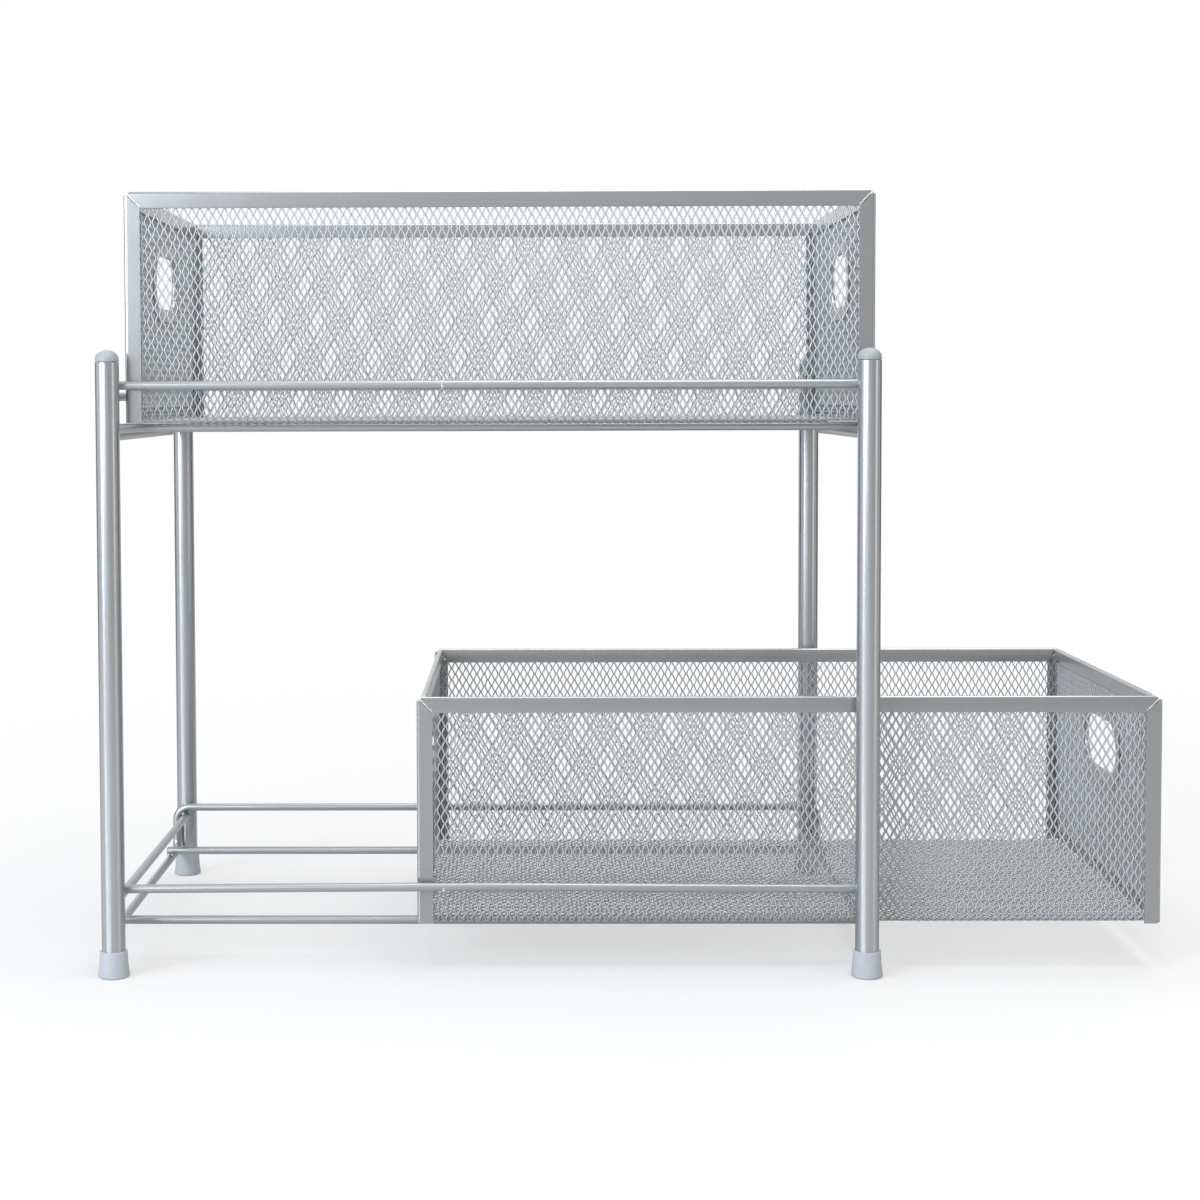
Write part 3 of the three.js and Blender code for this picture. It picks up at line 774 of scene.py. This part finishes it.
# %% Corner posts
POST_BEND = 1.5 * MM
POST_FOOT_RADIUS = 2.5 * MM

post_width = centre_and_size("lower_post_front_left")[1].x


def post_line(inset):
    stations = [post_width, POST_FOOT_RADIUS, (POST_FOOT_RADIUS + POST_BEND) / 2]
    bend = arc((POST_BEND, POST_BEND), POST_BEND - inset, 180, 270, steps=6)
    return [(inset, d) for d in stations] + bend + [(d, inset) for d in reversed(stations)]


def post_span(x, y):
    from_corner = max(x, y)
    mitre = basket_height - from_corner - 2 * MITRE_GAP
    clip = basket_height - CLIP_DROP + from_corner * CLIP_DROP / CLIP_LENGTH
    inside_round = max(0, POST_FOOT_RADIUS - from_corner)
    lift = POST_FOOT_RADIUS - math.sqrt(POST_FOOT_RADIUS ** 2 - inside_round ** 2)
    return lift, min(mitre, clip)


def corner_post(tier, corner, turn):
    node = f"{tier}_post_{corner}"
    low, high = basket_box(tier)
    x = low.x if "left" in corner else high.x
    y = low.y if "front" in corner else high.y
    place = Matrix.Translation((x, y, low.z)) @ Matrix.Rotation(math.radians(turn), 4, "Z")
    loop = post_line(0) + post_line(SHEET)[::-1]
    spans = [post_span(px, py) for px, py in loop]
    points = [place @ Vector((px, py, span[0])) for (px, py), span in zip(loop, spans)]
    points += [place @ Vector((px, py, span[1])) for (px, py), span in zip(loop, spans)]
    piece = mesh_piece(node + "_angle", points, folded_faces(loop), sheet_lacquer)
    return stand_for(piece, tier + "_basket", "basket_sheet", node)


POST_TURNS = {"front_left": 0, "front_right": 90, "rear_right": 180, "rear_left": 270}
for tier in TIERS:
    print([corner_post(tier, corner, turn).name for corner, turn in POST_TURNS.items()])

# %% [markdown]
# ## Finger rings
# Each end wall has a finger hole, bound by a pressed ring that grips the mesh so that no cut strand
# can scratch. The ring is one rolled section, two lips joined round the hole's edge, carried round an
# outline of two straights and two half circles. Each point of that outline knows which way is
# outwards, and the section is laid along that direction.

# %% Finger rings
RING_SHEET = 0.7 * MM
RING_LIP = 7 * MM
RING_FLAT = 0.6 * RING_LIP
RING_EDGE_DROP = 0.35 * MM
RING_TURNS = 16

ring, ring_size = centre_and_size("lower_finger_ring_left")
hole_centre_z = ring.z - basket_low.z
hole_length = ring_size.y - 2 * RING_LIP
hole_height = ring_size.z - 2 * RING_LIP


def hole_outline():
    radius = hole_height / 2
    straight = hole_length / 2 - radius
    outline = []
    for side, start in ((1, -90), (-1, 90)):
        for x, z in arc((0, 0), 1.0, start, start + 180, RING_TURNS):
            outline.append(((side * straight + radius * x, radius * z), (x, z)))
    return outline


def ring_line(inset):
    radius = rim_thickness / 2
    outside = [(RING_LIP, RING_EDGE_DROP + inset), (RING_FLAT, inset)]
    roll = arc((radius, radius), radius - inset, 270, 90, steps=8)
    inside = [(RING_FLAT, rim_thickness - inset), (RING_LIP, rim_thickness - RING_EDGE_DROP - inset)]
    return outside + roll + inside


def finger_ring(tier, face):
    node = f"{tier}_finger_ring_{face}"
    place = wall_place(tier, face)
    loop = ring_line(RING_SHEET) + ring_line(0)[::-1]
    points = []
    for (x, z), (out_x, out_z) in hole_outline():
        for away, depth in loop:
            points.append(place @ Vector((x + away * out_x, depth, hole_centre_z + z + away * out_z)))
    count = len(loop)
    total = len(points)
    faces = []
    for start in range(0, total, count):
        for k in range(count):
            here, beside = start + k, start + (k + 1) % count
            faces.append((here, beside, (beside + count) % total, (here + count) % total))
    piece = mesh_piece(node + "_rolled", points, faces, sheet_lacquer)
    return stand_for(piece, tier + "_basket", "basket_sheet", node)


for tier in TIERS:
    print([finger_ring(tier, face).name for face in ("left", "right")])

# %% [markdown]
# ## Expanded mesh
# Expanded metal isn't woven. A sheet is slit in staggered rows and pulled, and the slits open into
# diamonds, here a little over 4 mm wide and 7 mm long. The lower sheet was pulled slightly wider than
# the upper one, and both were cut about a degree off square. Little of that shows in one wall, but it
# turns the broad pattern that two walls make one behind the other. Every strand zigzags up the wall,
# touches its neighbour at each bond, and leans out of the sheet, so light glints on one side of each
# diamond. An image with holes would lie flat and show no glint. So a tree draws the strands: it
# samples a guide line at every half diamond, copies it across the wall, pushes each sample left or
# right in turn, and sweeps a flat section along it. One sheet is folded into front, floor and rear,
# and the guide line simply turns those corners. The end walls are sheets of their own, also with
# upright diamonds. They are seen at a slant, where strands close up like louvres and the rows of bonds
# show as level lines, so there the strands also twist between bonds and have one more sample halfway.
# Each end wall has its finger hole left open, and the floor's edge is turned up against its foot as a
# short flange.

# %% The mesh tree: a sampled guide line
FOLD_STEPS = 6

mesh_tree, given = new_tree("expanded_mesh", {
    "Across": "Vector", "Width": "Float", "Slant": "Float", "Diamond width": "Float",
    "Diamond length": "Float", "Bond": "Float", "Strand width": "Float", "Strand thickness": "Float",
    "Lean": "Float", "Middle lean": "Float", "Samples": "Float", "Fold radius": "Float",
    "Hole centre": "Vector", "Hole straight": "Float", "Hole radius": "Float"})

route = add_node(mesh_tree, "GeometryNodeMeshToCurve", {"Mesh": given["Guide"]})
folded = add_node(mesh_tree, "GeometryNodeFilletCurve",
                  {"Curve": route, "Count": FOLD_STEPS, "Radius": given["Fold radius"]}, mode="POLY")
run = add_node(mesh_tree, "GeometryNodeCurveLength", {"Curve": folded})
half = add_node(mesh_tree, "ShaderNodeMath", {0: given["Diamond length"], 1: 0.5}, operation="MULTIPLY")
step = add_node(mesh_tree, "ShaderNodeMath", {0: half, 1: given["Samples"]}, operation="DIVIDE")
steps = add_node(mesh_tree, "ShaderNodeMath", {0: run, 1: step}, operation="DIVIDE")
levels = add_node(mesh_tree, "ShaderNodeMath", {0: steps}, operation="CEIL")
sampled = add_node(mesh_tree, "GeometryNodeResampleCurve",
                   {"Curve": folded, "Count": levels}, mode="COUNT")
tangent = add_node(mesh_tree, "GeometryNodeInputTangent")
facing_out = add_node(mesh_tree, "ShaderNodeVectorMath", {0: tangent, 1: given["Across"]},
                      operation="CROSS_PRODUCT")
noted = add_node(mesh_tree, "GeometryNodeStoreNamedAttribute",
                 {"Geometry": sampled, "Name": "facing_out", "Value": facing_out},
                 data_type="FLOAT_VECTOR", domain="POINT")
print("mesh tree inputs:", [s.name for s in given if s.name])

# %% The mesh tree: strands across the sheet
pitch = add_node(mesh_tree, "ShaderNodeMath", {0: given["Diamond width"], 1: 0.5}, operation="MULTIPLY")
off_square = add_node(mesh_tree, "ShaderNodeMath", {0: run, 1: given["Slant"]}, operation="MULTIPLY")
spare = add_node(mesh_tree, "ShaderNodeMath", {0: off_square}, operation="ABSOLUTE")
blank = add_node(mesh_tree, "ShaderNodeMath", {0: given["Width"], 1: spare}, operation="ADD")
spaces = add_node(mesh_tree, "ShaderNodeMath", {0: blank, 1: pitch}, operation="DIVIDE")
strands = add_node(mesh_tree, "ShaderNodeMath", {0: spaces}, operation="FLOOR")
copies = add_node(mesh_tree, "GeometryNodeDuplicateElements",
                  {"Geometry": noted, "Amount": strands}, domain="SPLINE")
on_strand = add_node(mesh_tree, "GeometryNodeSplineParameter").outputs
halves = add_node(mesh_tree, "ShaderNodeMath", {0: on_strand["Index"], 1: given["Samples"]},
                  operation="DIVIDE")
parity = add_node(mesh_tree, "ShaderNodeMath", {0: copies.outputs[1], 1: halves}, operation="ADD")
angle = add_node(mesh_tree, "ShaderNodeMath", {0: parity, 1: math.pi}, operation="MULTIPLY")
wave = add_node(mesh_tree, "ShaderNodeMath", {0: angle}, operation="COSINE")
turn = add_node(mesh_tree, "ShaderNodeMath", {0: wave, 1: -0.5}, operation="MULTIPLY")
at_bond = add_node(mesh_tree, "ShaderNodeMath", {0: wave}, operation="ABSOLUTE")
swing = add_node(mesh_tree, "ShaderNodeMath", {0: pitch, 1: given["Bond"]}, operation="SUBTRACT")
zigzag = add_node(mesh_tree, "ShaderNodeMath", {0: turn, 1: swing}, operation="MULTIPLY")
last = add_node(mesh_tree, "ShaderNodeMath", {0: strands, 1: 1.0}, operation="SUBTRACT")
centring = add_node(mesh_tree, "ShaderNodeMath", {0: last, 1: 0.5}, operation="MULTIPLY")
column = add_node(mesh_tree, "ShaderNodeMath", {0: copies.outputs[1], 1: centring},
                  operation="SUBTRACT")
aside = add_node(mesh_tree, "ShaderNodeMath", {0: column, 1: pitch, 2: zigzag},
                 operation="MULTIPLY_ADD")
from_middle = add_node(mesh_tree, "ShaderNodeMath", {0: run, 1: -0.5, 2: on_strand["Length"]},
                       operation="MULTIPLY_ADD")
slanted = add_node(mesh_tree, "ShaderNodeMath", {0: from_middle, 1: given["Slant"], 2: aside},
                   operation="MULTIPLY_ADD")
noted = copies
for note, value in (("aside", slanted), ("bond", at_bond)):
    noted = add_node(mesh_tree, "GeometryNodeStoreNamedAttribute",
                     {"Geometry": noted, "Name": note, "Value": value},
                     data_type="FLOAT", domain="POINT")
shift = add_node(mesh_tree, "ShaderNodeVectorMath", {0: given["Across"], "Scale": slanted},
                 operation="SCALE")
pulled = add_node(mesh_tree, "GeometryNodeSetPosition", {"Geometry": noted, "Offset": shift})
print("nodes so far:", len(mesh_tree.nodes))

# %% The mesh tree: the finger hole and the edges
lines = add_node(mesh_tree, "GeometryNodeCurveToMesh", {"Curve": pulled})
spot = add_node(mesh_tree, "GeometryNodeInputPosition")
from_hole = add_node(mesh_tree, "ShaderNodeVectorMath", {0: spot, 1: given["Hole centre"]},
                     operation="SUBTRACT")
off_hole = add_node(mesh_tree, "ShaderNodeSeparateXYZ", {0: from_hole}).outputs
beside = add_node(mesh_tree, "ShaderNodeMath", {0: off_hole["Y"]}, operation="ABSOLUTE")
past = add_node(mesh_tree, "ShaderNodeMath", {0: beside, 1: given["Hole straight"]},
                operation="SUBTRACT")
past_straight = add_node(mesh_tree, "ShaderNodeMath", {0: past, 1: 0.0}, operation="MAXIMUM")
ring_spot = add_node(mesh_tree, "ShaderNodeCombineXYZ", {0: past_straight, 1: off_hole["Z"]})
away = add_node(mesh_tree, "ShaderNodeVectorMath", {0: ring_spot}, operation="LENGTH")
in_hole = add_node(mesh_tree, "FunctionNodeCompare", {0: away.outputs["Value"], 1: given["Hole radius"]},
                   operation="LESS_THAN")
noted_aside = add_node(mesh_tree, "GeometryNodeInputNamedAttribute", {"Name": "aside"}, data_type="FLOAT")
from_centre = add_node(mesh_tree, "ShaderNodeMath", {0: noted_aside}, operation="ABSOLUTE")
edge = add_node(mesh_tree, "ShaderNodeMath", {0: given["Width"], 1: 0.5}, operation="MULTIPLY")
past_edge = add_node(mesh_tree, "FunctionNodeCompare", {0: from_centre, 1: edge},
                     operation="GREATER_THAN")
waste = add_node(mesh_tree, "FunctionNodeBooleanMath", {0: in_hole, 1: past_edge}, operation="OR")
cut = add_node(mesh_tree, "GeometryNodeDeleteGeometry",
               {"Geometry": lines, "Selection": waste}, domain="POINT")
print("nodes so far:", len(mesh_tree.nodes))

# %% The mesh tree: leaning strands
strand = add_node(mesh_tree, "GeometryNodeMeshToCurve", {"Mesh": cut})
noted_out = add_node(mesh_tree, "GeometryNodeInputNamedAttribute", {"Name": "facing_out"},
                     data_type="FLOAT_VECTOR")
faced = add_node(mesh_tree, "GeometryNodeSetCurveNormal",
                 {"Curve": strand, "Normal": noted_out}, mode="FREE")
noted_bond = add_node(mesh_tree, "GeometryNodeInputNamedAttribute", {"Name": "bond"}, data_type="FLOAT")
twist = add_node(mesh_tree, "ShaderNodeMapRange",
                 {"Value": noted_bond, "To Min": given["Middle lean"], "To Max": given["Lean"]})
leaned = add_node(mesh_tree, "GeometryNodeSetCurveTilt", {"Curve": faced, "Tilt": twist})
section = add_node(mesh_tree, "GeometryNodeCurvePrimitiveQuadrilateral",
                   {"Width": given["Strand thickness"], "Height": given["Strand width"]})
solid = add_node(mesh_tree, "GeometryNodeCurveToMesh",
                 {"Curve": leaned, "Profile Curve": section, "Fill Caps": True})
plain = add_node(mesh_tree, "GeometryNodeSetShadeSmooth", {"Geometry": solid, "Shade Smooth": False})
for note in ("facing_out", "aside", "bond"):
    plain = add_node(mesh_tree, "GeometryNodeRemoveAttribute", {"Geometry": plain, "Name": note})
end_tree(mesh_tree, plain, given)
print("nodes in all:", len(mesh_tree.nodes))

# %% Mesh sheets of the baskets
DIAMOND_WIDTHS = {"lower": 4.38 * MM, "upper": 4.14 * MM}
DIAMOND_LENGTH = 7.15 * MM
SLANTS = {"lower": math.tan(math.radians(-0.6)), "upper": math.tan(math.radians(1.15))}
STRAND_WIDTH = 0.95 * MM
STRAND_THICKNESS = 0.42 * MM
BOND = 0.5 * MM
LEAN = math.radians(52)
END_MIDDLE_LEAN = math.radians(12)
END_SAMPLES = 2
FOLD_RADIUS = 3.0 * MM
FLOOR_LIFT = 0.55 * MM
END_FOLD = 0.4 * MM
FLANGE_HEIGHT = 8.8 * MM
FLANGE_INSET = 0.95 * MM
CRIMP = 1.0 * MM
INWARD = {"left": 1, "right": -1}


def mesh_sheet(tier, name, route, across, width, slant=0.0, lean=LEAN, middle_lean=LEAN, samples=1,
               **hole):
    edges = [(k, k + 1) for k in range(len(route) - 1)]
    return grown(name, mesh_tree, route, edges, crease=180, across=across, width=width, slant=slant,
                 diamond_width=DIAMOND_WIDTHS[tier], diamond_length=DIAMOND_LENGTH, bond=BOND,
                 strand_width=STRAND_WIDTH, strand_thickness=STRAND_THICKNESS, lean=lean,
                 middle_lean=middle_lean, samples=samples, fold_radius=FOLD_RADIUS,
                 material=mesh_lacquer, **hole)


def mesh_body(tier):
    low, _ = basket_box(tier)
    front, front_size = centre_and_size(tier + "_mesh_front")
    rear = centre_and_size(tier + "_mesh_rear")[0]
    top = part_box(tier + "_mesh_front")[1].z
    bottom = low.z + FLOOR_LIFT
    route = [(front.x, front.y, top), (front.x, front.y, bottom),
             (front.x, rear.y, bottom), (front.x, rear.y, top)]
    piece = mesh_sheet(tier, tier + "_mesh_body", route, (1, 0, 0), front_size.x, slant=SLANTS[tier])
    nodes = [f"{tier}_mesh_{side}" for side in ("front", "floor", "rear")]
    return stand_for(piece, tier + "_basket", "basket_mesh", *nodes)


def mesh_end(tier, face):
    node = f"{tier}_mesh_{face}"
    low, _ = basket_box(tier)
    wall, wall_size = centre_and_size(node)
    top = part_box(node)[1].z
    bottom = low.z + FLOOR_LIFT + END_FOLD
    inward = INWARD[face]
    inset = inward * (top - bottom) / 2 * math.tan(end_lean)
    route = [(wall.x + inset, wall.y, top), (wall.x - inset, wall.y, bottom)]
    piece = mesh_sheet(tier, node + "_panel", route, (0, -inward, 0), wall_size.y,
                       lean=inward * LEAN, middle_lean=inward * END_MIDDLE_LEAN, samples=END_SAMPLES,
                       hole_centre=(wall.x, wall.y, low.z + hole_centre_z),
                       hole_straight=(hole_length - hole_height) / 2,
                       hole_radius=hole_height / 2 + CRIMP)
    return stand_for(piece, tier + "_basket", "basket_mesh", node)


def mesh_flange(tier, face):
    wall, wall_size = centre_and_size(f"{tier}_mesh_{face}")
    inward = INWARD[face]
    reach = -inward * wall_size.y / 2
    level = basket_box(tier)[0].z + FLOOR_LIFT + FLANGE_HEIGHT / 2
    x = wall.x + inward * (FLANGE_INSET - (wall.z - level) * math.tan(end_lean))
    route = [(x, wall.y - reach, level), (x, wall.y + reach, level)]
    piece = mesh_sheet(tier, f"{tier}_mesh_flange_{face}", route, (0, 0, 1), FLANGE_HEIGHT)
    return stand_for(piece, tier + "_basket", "basket_mesh")


for tier in TIERS:
    sheets = [mesh_body(tier)]
    for face in INWARD:
        sheets += [mesh_end(tier, face), mesh_flange(tier, face)]
    print([(s.name, len(s.data.polygons)) for s in sheets])

# %% [markdown]
# ## Seam welds of the baskets
# The long rims and the posts are tacked together along their mitres. The weld is ground back but leaves a
# thin, uneven line beside the dark gap. The bead tree serves again, with far smaller beads set close
# together along the rim's side of each mitre, just proud of the sheet. Their glint comes partly from the
# lamps on the beads and partly from a painted highlight: the beads are coloured much paler than the
# lacquer.

# %% Seam welds
SEAM_BEAD = 0.4 * MM
SEAM_BEAD_DENT = 0.25 * MM
SEAM_DEPTH = 0.25 * MM
SEAM_PITCH = 0.3 * MM
SEAM_ASIDE = 0.25 * MM


def seam_points(tier):
    points = []
    start, end = CLIP_DROP / 2, post_width
    count = int((end - start) / SEAM_PITCH)
    for face in LONG_FACES:
        place = wall_place(tier, face)
        half_length = rim_length(tier, face) / 2
        for side in (-1, 1):
            for k in range(count):
                d = start + k * SEAM_PITCH
                across = side * (half_length - d - SEAM_ASIDE)
                points.append(place @ Vector((across, SEAM_DEPTH, basket_height - d + SEAM_ASIDE)))
    return points


for tier in TIERS:
    tacks = seam_points(tier)
    seam = grown(tier + "_seam_welds", bead_tree, tacks, [], crease=60, bead_radius=SEAM_BEAD,
                 bead_dent=SEAM_BEAD_DENT, material=seam_weld_painted_glint)
    stand_for(seam, tier + "_basket", "basket_sheet")
    print(seam.name, "beads:", len(tacks), "faces:", len(seam.data.polygons))
